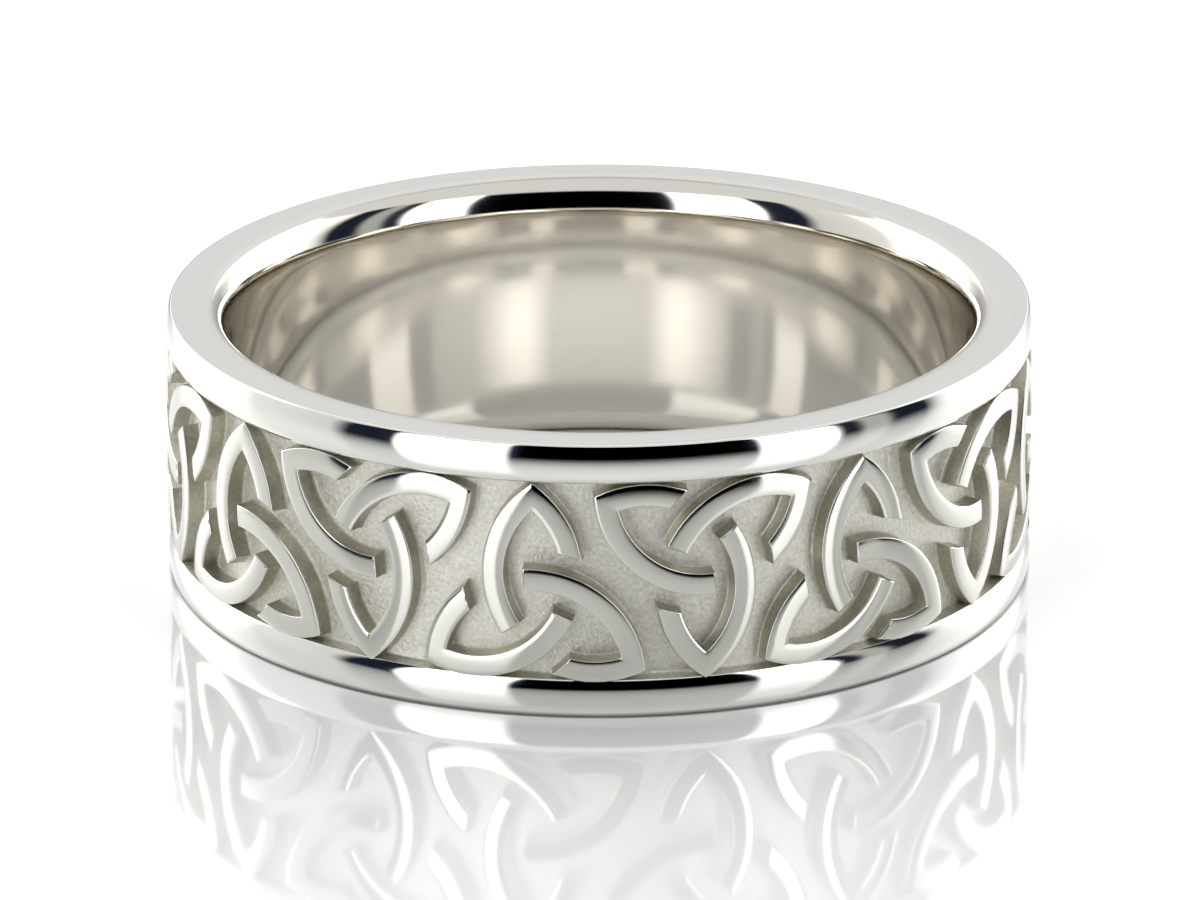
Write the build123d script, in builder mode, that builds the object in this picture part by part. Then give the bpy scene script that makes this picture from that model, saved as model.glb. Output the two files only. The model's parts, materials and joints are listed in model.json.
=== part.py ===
from build123d import *
import os
from math import acos, atan, cos, degrees, pi, radians, sin, sqrt, tan

# A carved wedding band of white metal, made in one piece. Millimetres, +Z up.
# It lies on its side: the origin is the middle of the lower end face, the bore's axis is Z,
# and -Y is the front.

# Band
bore_diameter = 20.0    # at mid-width, where the comfort fit bore is narrowest
band_width = 7.6
wall_thickness = 1.83    # from the bore's middle to a rim's crest
bore_flare = 0.05    # the bore's wall draws back by this much before it is rounded over
bore_lean = 3    # degrees, the slope of the wall there
round_across = 0.67    # the ellipse that rounds the bore into an end face, across the face
round_along = 1.06    # the same ellipse, along the bore

# Rims, the polished band on each side of the carving
rim_width = 1.05
rim_crown = 0.09    # the crest above the rim's own edges
rim_chamfer = 0.03

# Carving
ground_depth = 0.49    # the sunk ground below the rims' crests
knot_rise = 0.52    # a knot above the ground, at mid-width
knot_fall = 0.05    # its top curves down by this much towards each rim
upper_gap = 0.03    # between the knots and the upper rim
lower_bite = 0.05    # the knots run this far into the lower rim
strand_width = 0.58
strand_gap = 0.54    # between an under strand's end and the strand that crosses over it
knot_root = 0.5    # a strand starts this far below the ground
front_azimuth = -8.6    # of the upright knot nearest the front, positive towards +X

# Proportions of a knot, as shares of its height
arc_radius_share = 0.493    # a strand's centre line
arc_offset_share = 0.347    # the centre of that arc, from the centre of the knot
pair_room_share = 1.66    # length of band that an upright and a hanging knot need together

bore_radius = bore_diameter / 2
crest_radius = bore_radius + wall_thickness
rim_edge_radius = crest_radius - rim_crown
ground_radius = crest_radius - ground_depth
crown_radius = ground_radius + knot_rise
mid_height = band_width / 2
zone_half = band_width / 2 - rim_width

# The bore's wall is straight in the middle, then bends outwards to its lean, and the ellipse
# takes over from there.
bend_radius = bore_flare / (1 - cos(radians(bore_lean)))
rounding_sweep = atan(round_across / round_along / tan(radians(bore_lean)))
rounding_foot = band_width - round_along * (1 - cos(rounding_sweep))
bend_foot = rounding_foot - bend_radius * sin(radians(bore_lean))
face_start = bore_radius + bore_flare + round_across * sin(rounding_sweep)

knot_height = 2 * zone_half - upper_gap + lower_bite
knot_drop = (upper_gap + lower_bite) / 2
arc_radius = arc_radius_share * knot_height
arc_offset = arc_offset_share * knot_height
outer_arc = arc_radius + strand_width / 2
inner_arc = arc_radius - strand_width / 2
knot_pairs = int(2 * pi * crown_radius / (pair_room_share * knot_height))


# A knot is three equal arcs whose centres stand 120 degrees apart round the knot's centre.
# A turn is an angle along an arc, from the middle of its sweep.
def on_arc(direction, radius, turn):
    """Point on the arc whose centre lies in this direction from the knot's centre."""
    angle = direction + pi + turn
    return (arc_offset * cos(direction) + radius * cos(angle),
            arc_offset * sin(direction) + radius * sin(angle))


def turn_where(radius, distance):
    """Turn at which an arc of this radius is this far from the next arc's centre."""
    spacing = sqrt(3) * arc_offset
    cosine = (spacing**2 + radius**2 - distance**2) / (2 * spacing * radius)
    return acos(cosine) - pi / 6


def strand_edge(direction, radius, start_turn, end_turn):
    """One curved edge of a strand."""
    turns = (start_turn, (start_turn + end_turn) / 2, end_turn)
    return ThreePointArc(*[on_arc(direction, radius, turn) for turn in turns])


# A hook is the strand that runs from the top tip down the left and ends square before the
# strand that crosses over it, with the short strand on the right of the same tip.
left, right = pi / 6, pi - pi / 6
outer_tip = turn_where(outer_arc, outer_arc) + pi / 3
inner_tip = turn_where(inner_arc, inner_arc) + pi / 3
square_end = turn_where(arc_radius, inner_arc - strand_gap)
short_end_outer = turn_where(outer_arc, outer_arc + strand_gap)
short_end_inner = turn_where(inner_arc, outer_arc + strand_gap)

with BuildSketch() as hook:
    with BuildLine():
        strand_edge(left, outer_arc, -outer_tip, square_end)
        Line(on_arc(left, outer_arc, square_end), on_arc(left, inner_arc, square_end))
        strand_edge(left, inner_arc, square_end, -inner_tip)
        strand_edge(right, inner_arc, inner_tip, short_end_inner)
        Line(on_arc(right, inner_arc, short_end_inner), on_arc(right, outer_arc, short_end_outer))
        strand_edge(right, outer_arc, short_end_outer, outer_tip)
    make_face()

# An upright knot's foot and a hanging knot's head fill the height between the rims.
foot_reach = outer_arc - arc_offset / 2
upright_centre = mid_height - knot_drop - knot_height / 2 + foot_reach
hanging_centre = mid_height - knot_drop + knot_height / 2 - foot_reach

# A pair of knots, the upright one at the front and the hanging one beside it: hooks raised
# square from a plane behind the ground, then cut to the crowned top.
with BuildPart() as knot_pair:
    for centre_height, azimuth, turned in (
        (upright_centre, 0, 0),
        (hanging_centre, pi / knot_pairs, 180),
    ):
        wall = Plane(origin=(0, 0, centre_height),
                     x_dir=(cos(azimuth), sin(azimuth), 0),
                     z_dir=(sin(azimuth), -cos(azimuth), 0))
        with BuildSketch(wall.offset(ground_radius - knot_root)):
            with PolarLocations(0, 3, start_angle=turned):
                add(hook.sketch)
        extrude(amount=2 * knot_root + knot_rise)

    with BuildSketch(Plane.XZ) as crowned_zone:
        with BuildLine():
            zone_bottom = mid_height - zone_half
            zone_top = mid_height + zone_half
            Polyline((crown_radius - knot_fall, zone_top), (bore_radius, zone_top),
                     (bore_radius, zone_bottom), (crown_radius - knot_fall, zone_bottom))
            ThreePointArc((crown_radius - knot_fall, zone_bottom), (crown_radius, mid_height),
                          (crown_radius - knot_fall, zone_top))
        make_face()
    revolve(axis=Axis.Z, mode=Mode.INTERSECT)

# Band: bore, rounded bore edges, flat end faces, domed rims and the sunk ground, turned in
# one profile, with the knots standing on the ground.
with BuildPart() as band:
    with BuildSketch(Plane.XZ):
        with BuildLine() as upper_profile:
            Line((bore_radius, mid_height), (bore_radius, bend_foot))
            TangentArc((bore_radius, bend_foot), (bore_radius + bore_flare, rounding_foot),
                       tangent=(0, 1))
            EllipticalCenterArc((face_start, band_width - round_along), round_across, round_along,
                                start_angle=90, arc_size=degrees(rounding_sweep))
            Polyline((face_start, band_width), (rim_edge_radius - rim_chamfer, band_width),
                     (rim_edge_radius, band_width - rim_chamfer))
            ThreePointArc((rim_edge_radius, band_width - rim_chamfer),
                          (crest_radius, band_width - rim_width / 2),
                          (rim_edge_radius, band_width - rim_width + rim_chamfer))
            Polyline((rim_edge_radius, band_width - rim_width + rim_chamfer),
                     (rim_edge_radius - rim_chamfer, band_width - rim_width),
                     (ground_radius, band_width - rim_width), (ground_radius, mid_height),
                     (bore_radius, mid_height))
        make_face()
        mirror(about=Plane.XZ.offset(-mid_height))
    revolve(axis=Axis.Z)
    with PolarLocations(0, knot_pairs, start_angle=front_azimuth):
        add(knot_pair.part)

band.part.label = "band"
os.makedirs("parts", exist_ok=True)
export_step(band.part, "parts/band.step")
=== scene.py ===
import json
import math

import bmesh
import bpy
from mathutils import Matrix, Vector


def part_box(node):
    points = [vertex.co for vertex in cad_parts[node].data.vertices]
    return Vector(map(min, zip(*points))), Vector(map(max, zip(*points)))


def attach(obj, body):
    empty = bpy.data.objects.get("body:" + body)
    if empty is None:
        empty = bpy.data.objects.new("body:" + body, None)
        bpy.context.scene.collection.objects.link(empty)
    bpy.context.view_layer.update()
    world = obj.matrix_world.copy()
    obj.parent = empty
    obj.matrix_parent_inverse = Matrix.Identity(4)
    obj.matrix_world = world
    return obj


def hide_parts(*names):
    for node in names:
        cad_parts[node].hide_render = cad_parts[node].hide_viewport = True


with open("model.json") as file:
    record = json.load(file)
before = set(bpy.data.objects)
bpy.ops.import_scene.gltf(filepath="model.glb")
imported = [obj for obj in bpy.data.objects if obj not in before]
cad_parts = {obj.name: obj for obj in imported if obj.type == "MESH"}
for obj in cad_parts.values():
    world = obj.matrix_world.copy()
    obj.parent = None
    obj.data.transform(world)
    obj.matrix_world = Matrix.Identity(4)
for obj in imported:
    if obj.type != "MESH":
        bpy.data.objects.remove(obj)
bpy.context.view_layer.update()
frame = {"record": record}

# Camera
# The ring is looked at from in front and about 20 degrees above, through a long lens that
# keeps its ellipses nearly parallel.
MILLIMETRE = 0.001
ring_low, ring_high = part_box("band")
ring_middle = (ring_high.z + ring_low.z) / 2

camera_distance = 258.54 * MILLIMETRE
camera_elevation = math.radians(19.93)
camera_tilt_down = math.radians(20.05)

camera_data = bpy.data.cameras.new("camera")
camera_data.lens = 283.27
camera_data.sensor_width = 36
camera_data.shift_x = 0.0007
camera_data.clip_start = 0.01
camera = bpy.data.objects.new("camera", camera_data)
camera.location = (0, -camera_distance * math.cos(camera_elevation),
                   ring_middle + camera_distance * math.sin(camera_elevation))
camera.rotation_euler = (math.pi / 2 - camera_tilt_down, 0, 0)
bpy.context.scene.collection.objects.link(camera)
bpy.context.scene.camera = camera
bpy.context.scene.view_settings.view_transform = "Standard"
bpy.context.scene.cycles.glossy_bounces = 12

# Floor
# A white acrylic sheet under clear lacquer, which gives the ring its faint mirror image. A thin
# line of painted shade in its colour marks where the ring's outer edge meets it.
floor_half_side = 1.5
shade_radius = 11.71 * MILLIMETRE    # from the ring's axis to the middle of the line of shade
shade_even = 0.04 * MILLIMETRE    # it is darkest up to this far from its middle,
shade_end = 0.14 * MILLIMETRE    # and gone from this far on
shade_tone = 0.35
sheet_tone = 0.95

floor_mesh = bpy.data.meshes.new("floor")
floor_shape = bmesh.new()
bmesh.ops.create_grid(floor_shape, x_segments=1, y_segments=1, size=floor_half_side)
floor_shape.to_mesh(floor_mesh)
floor_shape.free()
floor = bpy.data.objects.new("floor", floor_mesh)
bpy.context.scene.collection.objects.link(floor)


def wire(tree, kind, sources, **settings):
    """Adds a node, sets its properties and joins or sets its inputs by name or number."""
    node = tree.nodes.new(kind)
    for name, value in settings.items():
        setattr(node, name, value)
    for name, value in sources.items():
        if isinstance(value, bpy.types.NodeSocket):
            tree.links.new(value, node.inputs[name])
        else:
            node.inputs[name].default_value = value
    return node


acrylic = bpy.data.materials.new("white acrylic")
acrylic.use_nodes = True
acrylic_shader = acrylic.node_tree.nodes["Principled BSDF"]
from_middle = wire(acrylic.node_tree, "ShaderNodeVectorMath", {
    0: wire(acrylic.node_tree, "ShaderNodeTexCoord", {}).outputs["Object"]}, operation="LENGTH")
past_shade = wire(acrylic.node_tree, "ShaderNodeMath", {
    0: from_middle.outputs["Value"], 1: shade_radius}, operation="SUBTRACT")
off_shade = wire(acrylic.node_tree, "ShaderNodeMath", {0: past_shade.outputs[0]}, operation="ABSOLUTE")
# the sheet's colour, with the line of painted shade in it
whiteness = wire(acrylic.node_tree, "ShaderNodeMapRange", {
    "Value": off_shade.outputs[0], "From Min": shade_even, "From Max": shade_end,
    "To Min": shade_tone, "To Max": sheet_tone})
acrylic.node_tree.links.new(whiteness.outputs[0], acrylic_shader.inputs["Base Color"])
acrylic_shader.inputs["Roughness"].default_value = 0.06
acrylic_shader.inputs["IOR"].default_value = 1.5
acrylic_shader.inputs["Coat Weight"].default_value = 1.0
acrylic_shader.inputs["Coat Roughness"].default_value = 0.05
floor_mesh.materials.append(acrylic)

# Studio
# A white tent round the ring, with a black opening for the camera in front, a white card on
# each side of it, and gaps between the cards. Directions are azimuth from the front, positive
# towards +X, and elevation, in degrees.
studio = bpy.data.worlds.new("studio")
bpy.context.scene.world = studio
studio.use_nodes = True
tent = studio.node_tree
tent.nodes.clear()


def shades(ramp, stops, low, high):
    """Fills a colour ramp from stops of (degrees, colour), where low..high degrees span it."""
    while len(ramp.elements) > 1:
        ramp.elements.remove(ramp.elements[-1])
    for number, (degrees, colour) in enumerate(stops):
        share = (degrees - low) / (high - low)
        if number == 0:
            element = ramp.elements[0]
            element.position = share
        else:
            element = ramp.elements.new(share)
        element.color = (*colour, 1)


BLACK = (0.0, 0.0, 0.0)
NIGHT_BLUE = (0.012, 0.02, 0.05)
DUSK = (0.012, 0.016, 0.03)
GREY = (0.5, 0.5, 0.49)
PALE = (0.8, 0.8, 0.8)
WHITE = (1.0, 1.0, 1.0)
ROOF = (0.85, 0.85, 0.85)
FAR_SIDE = (1.4, 1.4, 1.4)
FAR_LOW = (0.65, 0.65, 0.65)
FAR_FOOT = (0.25, 0.25, 0.25)
BRIGHT = (2.8, 2.8, 2.8)
SIDE_LAMP = (3.6, 3.6, 3.6)
far_start = 145    # from this azimuth to the next, the walls give way to the far side
far_full = 158
roof_start = 44    # from this elevation to the next, they give way to the roof
roof_full = 48
overhead = 90

direction = wire(tent, "ShaderNodeTexCoord", {}).outputs["Generated"]
parts = wire(tent, "ShaderNodeSeparateXYZ", {0: direction})
toward_front = wire(tent, "ShaderNodeMath", {0: parts.outputs["Y"], 1: -1.0}, operation="MULTIPLY")
azimuth = wire(tent, "ShaderNodeMath", {0: parts.outputs["X"], 1: toward_front.outputs[0]},
               operation="ARCTAN2")
azimuth_share = wire(tent, "ShaderNodeMapRange",
                     {"Value": azimuth.outputs[0], "From Min": -math.pi, "From Max": math.pi})
height = wire(tent, "ShaderNodeMath", {0: parts.outputs["Z"]}, operation="ARCSINE")
height_share = wire(tent, "ShaderNodeMapRange",
                    {"Value": height.outputs[0], "From Min": 0.0, "From Max": math.pi / 2})

# round the ring, from the floor up to the roof of the tent
walls = wire(tent, "ShaderNodeValToRGB", {"Fac": azimuth_share.outputs[0]})
shades(walls.color_ramp, [
    (-180, FAR_SIDE), (-150, FAR_SIDE), (-135, SIDE_LAMP), (-125, SIDE_LAMP), (-100, WHITE),
    (-73, PALE), (-68, DUSK), (-54.5, DUSK), (-52.5, BRIGHT), (-25, BRIGHT), (-23, NIGHT_BLUE),
    (-20, BLACK), (38, BLACK), (41.5, NIGHT_BLUE), (43, BRIGHT), (63, BRIGHT), (65, DUSK),
    (70, DUSK), (73, GREY), (79, GREY), (82, DUSK), (93, DUSK), (98, WHITE), (125, SIDE_LAMP),
    (135, SIDE_LAMP), (150, FAR_SIDE), (180, FAR_SIDE)], -180, 180)
# the far side, darker towards the floor
far_wall = wire(tent, "ShaderNodeValToRGB", {"Fac": height_share.outputs[0]})
shades(far_wall.color_ramp, [(0, FAR_FOOT), (5, GREY), (13, FAR_LOW), (18, FAR_SIDE)], 0, overhead)
from_front = wire(tent, "ShaderNodeMath", {0: azimuth.outputs[0]}, operation="ABSOLUTE")
far_mask = wire(tent, "ShaderNodeMapRange", {
    "Value": from_front.outputs[0], "From Min": math.radians(far_start),
    "From Max": math.radians(far_full)})
round_colour = wire(tent, "ShaderNodeMix", {
    "Factor": far_mask.outputs[0], "A": walls.outputs["Color"], "B": far_wall.outputs["Color"]},
    data_type="RGBA")
# above the walls, the roof is white all round
roof_mask = wire(tent, "ShaderNodeMapRange", {
    "Value": height_share.outputs[0], "From Min": roof_start / overhead,
    "From Max": roof_full / overhead}, interpolation_type="SMOOTHSTEP")
tent_colour = wire(tent, "ShaderNodeMix", {
    "Factor": roof_mask.outputs[0], "A": round_colour.outputs["Result"], "B": (*ROOF, 1)},
    data_type="RGBA")
# the tent lights the ring and shows in its polish, and the camera has plain white behind the ring
light = wire(tent, "ShaderNodeBackground", {"Color": tent_colour.outputs["Result"], "Strength": 1.0})
plain = wire(tent, "ShaderNodeBackground", {"Color": (*WHITE, 1), "Strength": 1.0})
seen = wire(tent, "ShaderNodeLightPath", {})
shown = wire(tent, "ShaderNodeMixShader", {
    0: seen.outputs["Is Camera Ray"], 1: light.outputs[0], 2: plain.outputs[0]})
wire(tent, "ShaderNodeOutputWorld", {"Surface": shown.outputs[0]})

# Turned band
# The body of the ring, one piece of white gold turned on a lathe: a comfort fit bore, two
# flat satin end faces, two polished rims and the sunk ground between them.
bore_mount = next(mount for mount in frame["record"]["mounts"] if mount["name"] == "bore")
bore_radius = bore_mount["dims"]["r_mm"]
bore_straight = bore_mount["dims"]["length_mm"]
half_width = (ring_high.z - ring_low.z) / 2 / MILLIMETRE
# lengths are in millimetres, from the ring's middle, and angles in degrees
bore_flare = 0.05    # past its straight middle, the bore bends outwards by this much,
bore_lean = 3    # up to this lean
round_across = 0.67    # the ellipse that rounds it over into an end face
round_along = 1.06
wall_thickness = 1.83    # from the bore's middle to a rim's crest
crest_radius = bore_radius + wall_thickness
crest_from_face = 0.6
rim_width = 1.05
rim_dome = 1.5    # radius of the rim's dome,
rim_roll = 0.6    # and of its roll into the carving, which starts this far past the crest
roll_start = 6
face_edge = 0.07    # radius of the rim's soft edge beside the end face,
rim_edge = 0.03    # and of the one beside the carving
rim_wall_draft = 0.03
rim_foot_round = 0.08
flat_inner_margin = 0.3    # the end face has a ring of corners this far from its inner edge,
flat_outer_margin = 0.2    # and one this far from its outer edge
ground_depth = 0.49    # the sunk ground below the rims' crests
ground_radius = crest_radius - ground_depth
zone_half = half_width - rim_width
steps_round = 320


def arc_points(centre, radii, start, end, steps):
    """Points of an elliptical arc, in (radius, height), with angles in degrees."""
    points = []
    for step in range(steps + 1):
        angle = math.radians(start + (end - start) * step / steps)
        points.append((centre[0] + radii[0] * math.cos(angle), centre[1] + radii[1] * math.sin(angle)))
    return points


def leg_lengths(degrees, length):
    """How far a line of this length and angle goes along, and how far up."""
    return length * math.cos(math.radians(degrees)), length * math.sin(math.radians(degrees))


# the bore, from mid-width up to the end face
bend_radius = bore_flare / (1 - math.cos(math.radians(bore_lean)))
rounding_sweep = math.degrees(math.atan(round_across / round_along / math.tan(math.radians(bore_lean))))
face_start = bore_radius + bore_flare + round_across * math.sin(math.radians(rounding_sweep))
upper_half = [(bore_radius, bore_straight / 2 * share) for share in (0.25, 0.75)]
upper_half += arc_points((bore_radius + bend_radius, bore_straight / 2), (bend_radius, bend_radius),
                         180, 180 - bore_lean, steps=8)
upper_half += arc_points((face_start, half_width - round_along), (round_across, round_along),
                         90 + rounding_sweep, 90, steps=16)[1:]
# the rim, from the end face over its crest to the carving
crest_height = half_width - crest_from_face
dome_start = math.degrees(math.asin((crest_from_face - face_edge) / (rim_dome - face_edge)))
dome_centre = (crest_radius - rim_dome, crest_height)
reach, lift = leg_lengths(dome_start, rim_dome - face_edge)
edge_centre = (dome_centre[0] + reach, dome_centre[1] + lift)
reach, lift = leg_lengths(roll_start, rim_dome - rim_roll)
roll_centre = (dome_centre[0] + reach, dome_centre[1] - lift)
roll_end = math.degrees(math.asin((roll_centre[1] - rim_edge - zone_half) / (rim_roll - rim_edge)))
reach, lift = leg_lengths(roll_end, rim_roll - rim_edge)
inner_centre = (roll_centre[0] + reach, roll_centre[1] - lift)
upper_half += [(face_start + flat_inner_margin, half_width),
               (edge_centre[0] - flat_outer_margin, half_width)]
upper_half += arc_points(edge_centre, (face_edge, face_edge), 90, dome_start, steps=6)
upper_half += arc_points(dome_centre, (rim_dome, rim_dome), dome_start, -roll_start, steps=16)[1:]
upper_half += arc_points(roll_centre, (rim_roll, rim_roll), -roll_start, -roll_end, steps=8)[1:]
upper_half += arc_points(inner_centre, (rim_edge, rim_edge), -roll_end, -90, steps=4)[1:]
# the carving's side wall and its sunk ground
foot_height = zone_half - rim_wall_draft - rim_foot_round
upper_half += arc_points((ground_radius + rim_foot_round, foot_height),
                         (-rim_foot_round, rim_foot_round), 90, 0, steps=4)
upper_half += [(ground_radius, foot_height * share) for share in (0.9, 0.7, 0.5, 0.3, 0.1)]
profile = upper_half + [(radius, -height) for radius, height in reversed(upper_half)]

turned = bmesh.new()
corners = [turned.verts.new((radius, 0, height)) for radius, height in profile]
for corner, following in zip(corners, corners[1:] + corners[:1]):
    turned.edges.new((corner, following))
bmesh.ops.spin(turned, geom=turned.verts[:] + turned.edges[:], cent=(0, 0, 0), axis=(0, 0, 1),
               angle=2 * math.pi, steps=steps_round, use_merge=True)
bmesh.ops.recalc_face_normals(turned, faces=turned.faces[:])

RIM, END_FACE, BORE, GROUND, STRAND_TOP, STRAND_WALL_GRIT_PAINTED_SHADE = range(6)
satin_overlap = 0.16    # the end face's finish runs this far over the bore's rounding
face_slack = 0.04    # faces this close below an end face have its finish
ground_slack = 0.005    # and the ground's starts this far in from a rim


def finish_of(face):
    """Which finish a face of the turned band has, from where it lies."""
    middle = face.calc_center_median()
    radius, height = math.hypot(middle.x, middle.y), abs(middle.z)
    if radius < face_start - satin_overlap:
        return BORE
    if height > half_width - face_slack and radius < edge_centre[0]:
        return END_FACE
    if height < zone_half - ground_slack:
        return GROUND
    return RIM


for face in turned.faces:
    face.material_index = finish_of(face)
    face.smooth = True

# Knots
# Triquetra knots standing on the ground, upright and hanging by turns, carved in the same
# metal. A knot is three hooks; a hook is a long strand and a short one that share a pointed
# tip and stop short of the strands that cross over them.
knot_pairs = 8
front_azimuth = math.radians(-8.6)
knot_rise = 0.51    # a knot above the ground, at mid-width
crown_radius = ground_radius + knot_rise
knot_fall = 0.05    # its crown is this much lower beside a rim,
shoulder_fall = 0.035    # and this much further over its shoulders,
shoulder_start = 0.8    # which start at this share of the way to the rim
upper_gap = 0.03
lower_bite = 0.05
rim_bite = 0.035    # a knot that runs into a rim ends this far inside the rim's wall
strand_width = 0.58
strand_gap = 0.54
root_depth = 0.12    # the hooks reach this far below the ground
knot_height = 2 * zone_half - upper_gap + lower_bite
arc_radius = 0.493 * knot_height    # a strand's arc, along its middle,
arc_offset = 0.347 * knot_height    # and the arc's centre, from the knot's
knot_middle = -(upper_gap + lower_bite) / 2
foot_reach = arc_radius + strand_width / 2 - arc_offset / 2
upright_centre = knot_middle - knot_height / 2 + foot_reach
hanging_centre = knot_middle + knot_height / 2 - foot_reach

# a strand's flank: how far in from its foot's outline, and how high above the ground
flank = [(0, 0), (0.01, 0.012), (0.025, 0.05), (0.05, 0.46), (0.055, 0.477), (0.064, 0.488),
         (0.08, 0.496)]
wall_foot, wall_head = flank[2:4]    # between these, it is blasted like the ground, and darker by painted shade
strand_crown = [(0.19, 0.5055), (0.28, 0.5093), (0.35, knot_rise)]    # its domed top, to mid-strand
flank_in = wall_head[0] + 0.01    # where the strand's stated width is measured
foot_half = strand_width / 2 + flank_in
end_strip = 0.1    # the last row of its flat top, in from its end
row_turn = 5    # degrees of arc between a strand's cross rows,
least_row = 0.3    # of which at least this share is left before its end
weld_distance = 0.0005


def turn_where(radius, distance):
    """Turn, from mid-sweep, at which an arc is this far from the next arc's centre."""
    spacing = math.sqrt(3) * arc_offset
    cosine = (spacing ** 2 + radius ** 2 - distance ** 2) / (2 * spacing * radius)
    return math.degrees(math.acos(cosine)) - 30


def long_end_turn(radius, inset):
    """The long strand ends square, before the strand that crosses over it."""
    end = turn_where(arc_radius, arc_radius - strand_width / 2 - strand_gap)
    return end + math.degrees((flank_in - inset) / radius)


def short_end_turn(radius, inset):
    """The short strand's end runs beside the strand that crosses over it."""
    return turn_where(radius, arc_radius + strand_width / 2 + strand_gap - flank_in + inset)


def lay_strand(direction, sense, end_turn):
    """One strand of a hook, as a sheet of cross rows from the tip at x = 0 to its end."""
    angle = math.radians(direction)
    centre = Vector((arc_offset * math.cos(angle), arc_offset * math.sin(angle), 0))

    def place(radius, turn, height):
        bearing = math.radians(direction + 180 + turn)
        return centre + Vector((radius * math.cos(bearing), radius * math.sin(bearing), height))

    half = flank + strand_crown
    columns = [(inset - foot_half, height) for inset, height in half]
    columns += [(-offset, height) for offset, height in reversed(columns[:-1])]
    strand = bmesh.new()
    start = -90 * sense
    row = [strand.verts.new(place(arc_radius + offset, start, height)) for offset, height in columns]
    edges = [strand.edges.new(pair) for pair in zip(row, row[1:])]
    shortest = min(abs(end_turn(arc_radius + offset, flank[-1][0]) - start)
                   for offset, height in columns)
    # the rows' turns, and then how far in from the strand's end the last ones lie
    rows = [(start + sense * row_turn * step, None)
            for step in range(1, math.ceil(shortest / row_turn - least_row))]
    rows += [(None, end_strip)] + [(None, inset) for inset, height in reversed(flank)]
    for turn, end_inset in rows:
        laid = bmesh.ops.extrude_edge_only(strand, edges=edges)["geom"]
        edges = [item for item in laid if isinstance(item, bmesh.types.BMEdge)]
        for vert in laid:
            if not isinstance(vert, bmesh.types.BMVert):
                continue
            radius = (vert.co.xy - centre.xy).length
            if end_inset is None:
                vert.co = place(radius, turn, vert.co.z)
            else:
                lower = [height for inset, height in flank[:-1] if inset == end_inset]
                height = min([vert.co.z] + lower)
                vert.co = place(radius, end_turn(radius, end_inset), height)
    bmesh.ops.bisect_plane(strand, geom=strand.verts[:] + strand.edges[:] + strand.faces[:],
                           plane_co=(0, 0, 0), plane_no=(sense, 0, 0), clear_outer=True)
    return strand


def make_hook():
    """One hook, flat, with its tip up: x and y across the carving, z the height above ground."""
    hook = bmesh.new()
    for direction, sense, end_turn in ((30, 1, long_end_turn), (150, -1, short_end_turn)):
        strand = lay_strand(direction, sense, end_turn)
        strand_mesh = bpy.data.meshes.new("strand")
        strand.to_mesh(strand_mesh)
        strand.free()
        hook.from_mesh(strand_mesh)
        bpy.data.meshes.remove(strand_mesh)
    bmesh.ops.remove_doubles(hook, verts=hook.verts[:], dist=weld_distance)
    for face in hook.faces:
        heights = sorted(vert.co.z for vert in face.verts)
        middle = (heights[0] + heights[-1]) / 2
        if middle < wall_foot[1]:
            face.material_index = GROUND
        elif middle < wall_head[1]:
            face.material_index = STRAND_WALL_GRIT_PAINTED_SHADE
        else:
            face.material_index = STRAND_TOP
    # the sheet is kept as the hook's underside, and a copy of it becomes the top
    feet = hook.verts[:]
    bmesh.ops.extrude_face_region(hook, geom=hook.faces[:], use_keep_orig=True)
    for vert in feet:
        vert.co.z = -root_depth
    bmesh.ops.recalc_face_normals(hook, faces=hook.faces[:])
    return hook


hook = make_hook()
hook_mesh = bpy.data.meshes.new("hook")
hook.to_mesh(hook_mesh)
hook.free()

carving = bmesh.new()
for knot in range(2 * knot_pairs):
    hanging = knot % 2 == 1
    azimuth = front_azimuth + math.pi / knot_pairs * knot
    centre_height = hanging_centre if hanging else upright_centre
    for third in range(3):
        piece = bmesh.new()
        piece.from_mesh(hook_mesh)
        bmesh.ops.rotate(piece, verts=piece.verts[:], cent=(0, 0, 0),
                         matrix=Matrix.Rotation(math.radians(120 * third + 180 * hanging), 3, "Z"))
        bmesh.ops.translate(piece, verts=piece.verts[:], vec=(0, centre_height, 0))
        for side in (1, -1):
            cut = bmesh.ops.bisect_plane(
                piece, geom=piece.verts[:] + piece.edges[:] + piece.faces[:],
                plane_co=(0, side * (zone_half + rim_bite), 0), plane_no=(0, side, 0),
                clear_outer=True)
            rim_edges = [item for item in cut["geom_cut"] if isinstance(item, bmesh.types.BMEdge)]
            bmesh.ops.holes_fill(piece, edges=rim_edges, sides=0)
        # wrapped round the ground, with its crown falling towards the rims
        for vert in piece.verts:
            across, along, rise = vert.co
            share = abs(along) / zone_half
            shoulder_share = max(0, (share - shoulder_start) / (1 - shoulder_start))
            top_radius = crown_radius - knot_fall * share ** 2
            top_radius -= shoulder_fall * shoulder_share ** 2
            if rise > 0:
                radius = ground_radius + rise / knot_rise * (top_radius - ground_radius)
            else:
                radius = ground_radius + rise
            bearing = azimuth + across / crown_radius
            vert.co = (radius * math.sin(bearing), -radius * math.cos(bearing), along)
        piece_mesh = bpy.data.meshes.new("piece")
        piece.to_mesh(piece_mesh)
        piece.free()
        carving.from_mesh(piece_mesh)
        bpy.data.meshes.remove(piece_mesh)
for face in carving.faces:
    face.smooth = True
bmesh.ops.recalc_face_normals(carving, faces=carving.faces[:])

# Finishes
# White gold, mirror polished on the rims, the bore and the knots, lapped to a satin on the end
# faces, and blasted with grit in the sunk ground and down the knots' walls, darkened by painted shade.
streaks_round = 2.5    # the scale of the turning marks' noise round the ring

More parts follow.
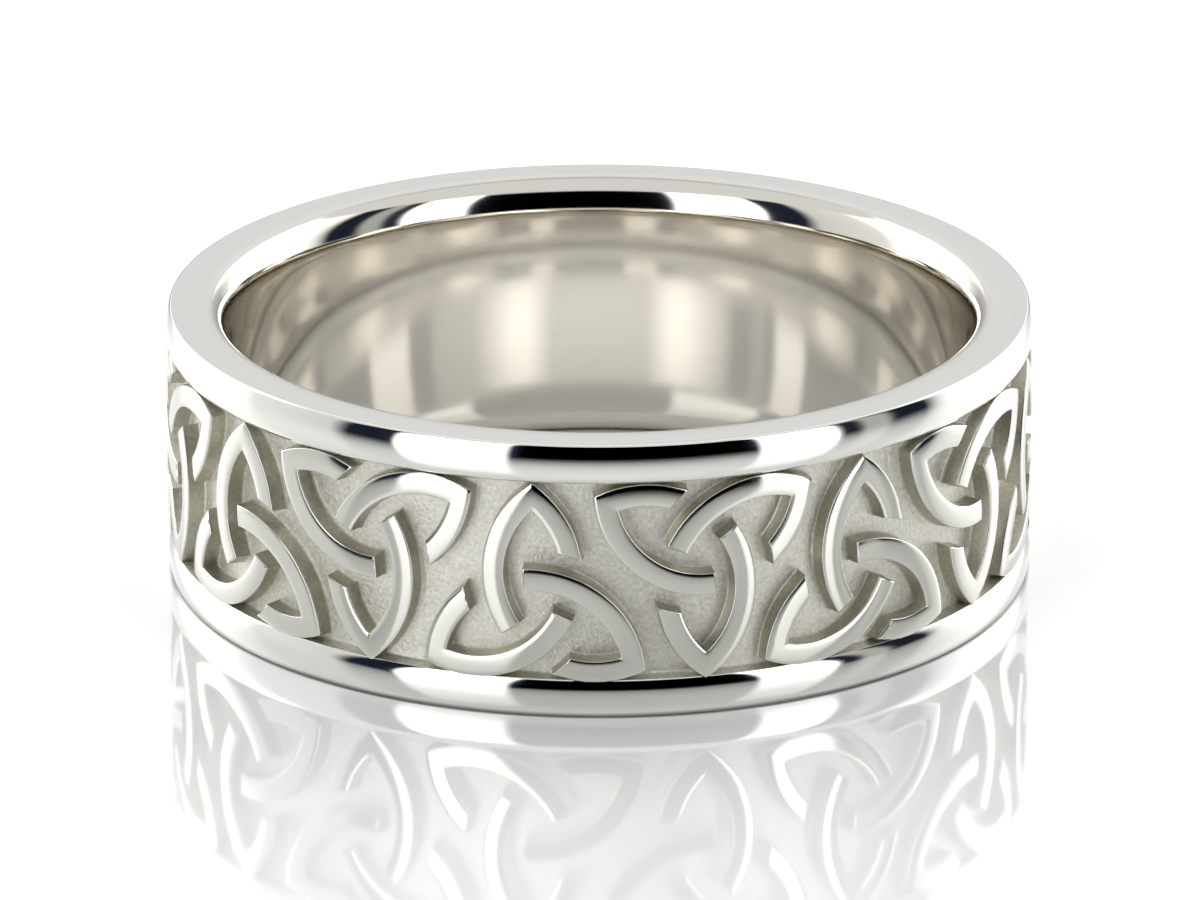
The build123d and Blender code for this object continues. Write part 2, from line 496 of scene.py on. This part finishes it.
turning_marks = bpy.data.node_groups.new("turning marks", "ShaderNodeTree")
turning_marks.interface.new_socket("Fineness", in_out="INPUT", socket_type="NodeSocketFloat")
turning_marks.interface.new_socket("Height", in_out="OUTPUT", socket_type="NodeSocketFloat")
marks_in = wire(turning_marks, "NodeGroupInput", {})
object_place = wire(turning_marks, "ShaderNodeSeparateXYZ", {
    0: wire(turning_marks, "ShaderNodeTexCoord", {}).outputs["Object"]})
flat_place = wire(turning_marks, "ShaderNodeCombineXYZ", {
    "X": object_place.outputs["X"], "Y": object_place.outputs["Y"], "Z": 0.0})
from_axis = wire(turning_marks, "ShaderNodeVectorMath", {0: flat_place.outputs[0]}, operation="LENGTH")
heading = wire(turning_marks, "ShaderNodeVectorMath", {0: flat_place.outputs[0]}, operation="NORMALIZE")
round_ring = wire(turning_marks, "ShaderNodeVectorMath", {
    0: heading.outputs[0], "Scale": streaks_round}, operation="SCALE")
fine_height = wire(turning_marks, "ShaderNodeMath", {
    0: object_place.outputs["Z"], 1: marks_in.outputs["Fineness"]}, operation="MULTIPLY")
fine_radius = wire(turning_marks, "ShaderNodeMath", {
    0: from_axis.outputs["Value"], 1: marks_in.outputs["Fineness"]}, operation="MULTIPLY")
upward = wire(turning_marks, "ShaderNodeCombineXYZ", {"X": 0.0, "Y": 0.0, "Z": fine_height.outputs[0]})
streaks_place = wire(turning_marks, "ShaderNodeVectorMath", {
    0: round_ring.outputs[0], 1: upward.outputs[0]}, operation="ADD")
streaks = wire(turning_marks, "ShaderNodeTexNoise", {
    "Vector": streaks_place.outputs[0], "W": fine_radius.outputs[0], "Scale": 1.0, "Detail": 3.0,
    "Roughness": 0.6}, noise_dimensions="4D")
wire(turning_marks, "NodeGroupOutput", {"Height": streaks.outputs["Fac"]})

grit_grain = bpy.data.node_groups.new("grit grain", "ShaderNodeTree")
grit_grain.interface.new_socket("Fineness", in_out="INPUT", socket_type="NodeSocketFloat")
grit_grain.interface.new_socket("Height", in_out="OUTPUT", socket_type="NodeSocketFloat")
grain_in = wire(grit_grain, "NodeGroupInput", {})
grain = wire(grit_grain, "ShaderNodeTexNoise", {
    "Vector": wire(grit_grain, "ShaderNodeTexCoord", {}).outputs["Object"],
    "Scale": grain_in.outputs["Fineness"], "Detail": 4.0, "Roughness": 0.7})
wire(grit_grain, "NodeGroupOutput", {"Height": grain.outputs["Fac"]})


def white_gold(name, colour, tone, roughness, spread, marks, fineness, depth):
    """Metal with one kind of marks in it, this deep in metres, which shade it by tone and spread."""
    material = bpy.data.materials.new(name)
    material.use_nodes = True
    tree = material.node_tree
    shader = tree.nodes["Principled BSDF"]
    shader.inputs["Metallic"].default_value = 1.0
    surface = wire(tree, "ShaderNodeGroup", {}, node_tree=marks)
    surface.inputs["Fineness"].default_value = fineness
    height = surface.outputs["Height"]
    contrast = wire(tree, "ShaderNodeMapRange", {"Value": height, "From Min": 0.3, "From Max": 0.7})
    shaded = wire(tree, "ShaderNodeMix", {
        "Factor": contrast.outputs[0], "A": (*[min(1, part * (1 - tone)) for part in colour], 1),
        "B": (*[min(1, part * (1 + tone)) for part in colour], 1)}, data_type="RGBA")
    tree.links.new(shaded.outputs["Result"], shader.inputs["Base Color"])
    dulled = wire(tree, "ShaderNodeMapRange", {
        "Value": height, "To Min": roughness - spread, "To Max": roughness + spread})
    tree.links.new(dulled.outputs[0], shader.inputs["Roughness"])
    bump = wire(tree, "ShaderNodeBump", {"Height": height, "Strength": 1.0, "Distance": depth})
    tree.links.new(bump.outputs["Normal"], shader.inputs["Normal"])
    return material


finishes = {
    RIM: white_gold("rim polish", (0.78, 0.785, 0.745), 0.02, 0.05, 0.03, turning_marks, 60000, 2e-7),
    END_FACE: white_gold("end face satin", (0.53, 0.527, 0.505), 0.06, 0.3, 0.1, turning_marks, 45000,
                         1.5e-6),
    BORE: white_gold("bore polish", (0.755, 0.73, 0.67), 0.02, 0.07, 0.03, turning_marks, 50000, 3e-7),
    GROUND: white_gold("ground blasted", (0.72, 0.712, 0.65), 0.2, 0.42, 0.1, grit_grain, 9000, 3e-5),
    STRAND_TOP: white_gold("strand polish", (0.62, 0.621, 0.575), 0.02, 0.09, 0.03, grit_grain, 1500,
                           1e-6),
    # the knots' walls: grit-blasted like the ground, and darker than it by painted shade
    STRAND_WALL_GRIT_PAINTED_SHADE: white_gold("strand wall grit and painted shade", (0.52, 0.5, 0.425), 0.2, 0.36, 0.1, grit_grain, 9000, 1.5e-5),
}


def as_object(shape, name):
    """Turns a bmesh in millimetres into an object with its place in its mesh."""
    bmesh.ops.scale(shape, verts=shape.verts[:], vec=(MILLIMETRE,) * 3)
    bmesh.ops.translate(shape, verts=shape.verts[:], vec=(0, 0, ring_middle))
    mesh = bpy.data.meshes.new(name)
    shape.to_mesh(mesh)
    shape.free()
    for index in sorted(finishes):
        mesh.materials.append(finishes[index])
    made = bpy.data.objects.new(name, mesh)
    bpy.context.scene.collection.objects.link(made)
    return made


# One piece
# The knots and the turned band are the same metal, so they are joined into one closed body. It
# rides the part's root, as nothing on a ring moves, and stands in for the part's one node.
crease_angle = math.radians(38)
sliver_length = 2e-4 * MILLIMETRE

band = as_object(turned, "celtic_band")
knots = as_object(carving, "knots")
joining = band.modifiers.new("join", "BOOLEAN")
joining.operation = "UNION"
joining.solver = "MANIFOLD"
joining.object = knots
joined = bpy.data.meshes.new_from_object(band.evaluated_get(bpy.context.evaluated_depsgraph_get()))
band.modifiers.clear()
band.data = joined
bpy.data.objects.remove(knots)

# slivers where the two met go, and an edge is sharp where it creases or bounds a rim's polish
whole = bmesh.new()
whole.from_mesh(joined)
bmesh.ops.dissolve_degenerate(whole, edges=whole.edges[:], dist=sliver_length)
for face in whole.faces:
    face.smooth = True
for edge in whole.edges:
    finish_pair = {face.material_index for face in edge.link_faces}
    rim_seam = len(finish_pair) == 2 and RIM in finish_pair
    edge.smooth = not rim_seam and edge.calc_face_angle() < crease_angle
whole.to_mesh(joined)
whole.free()

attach(band, "root")
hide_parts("band")
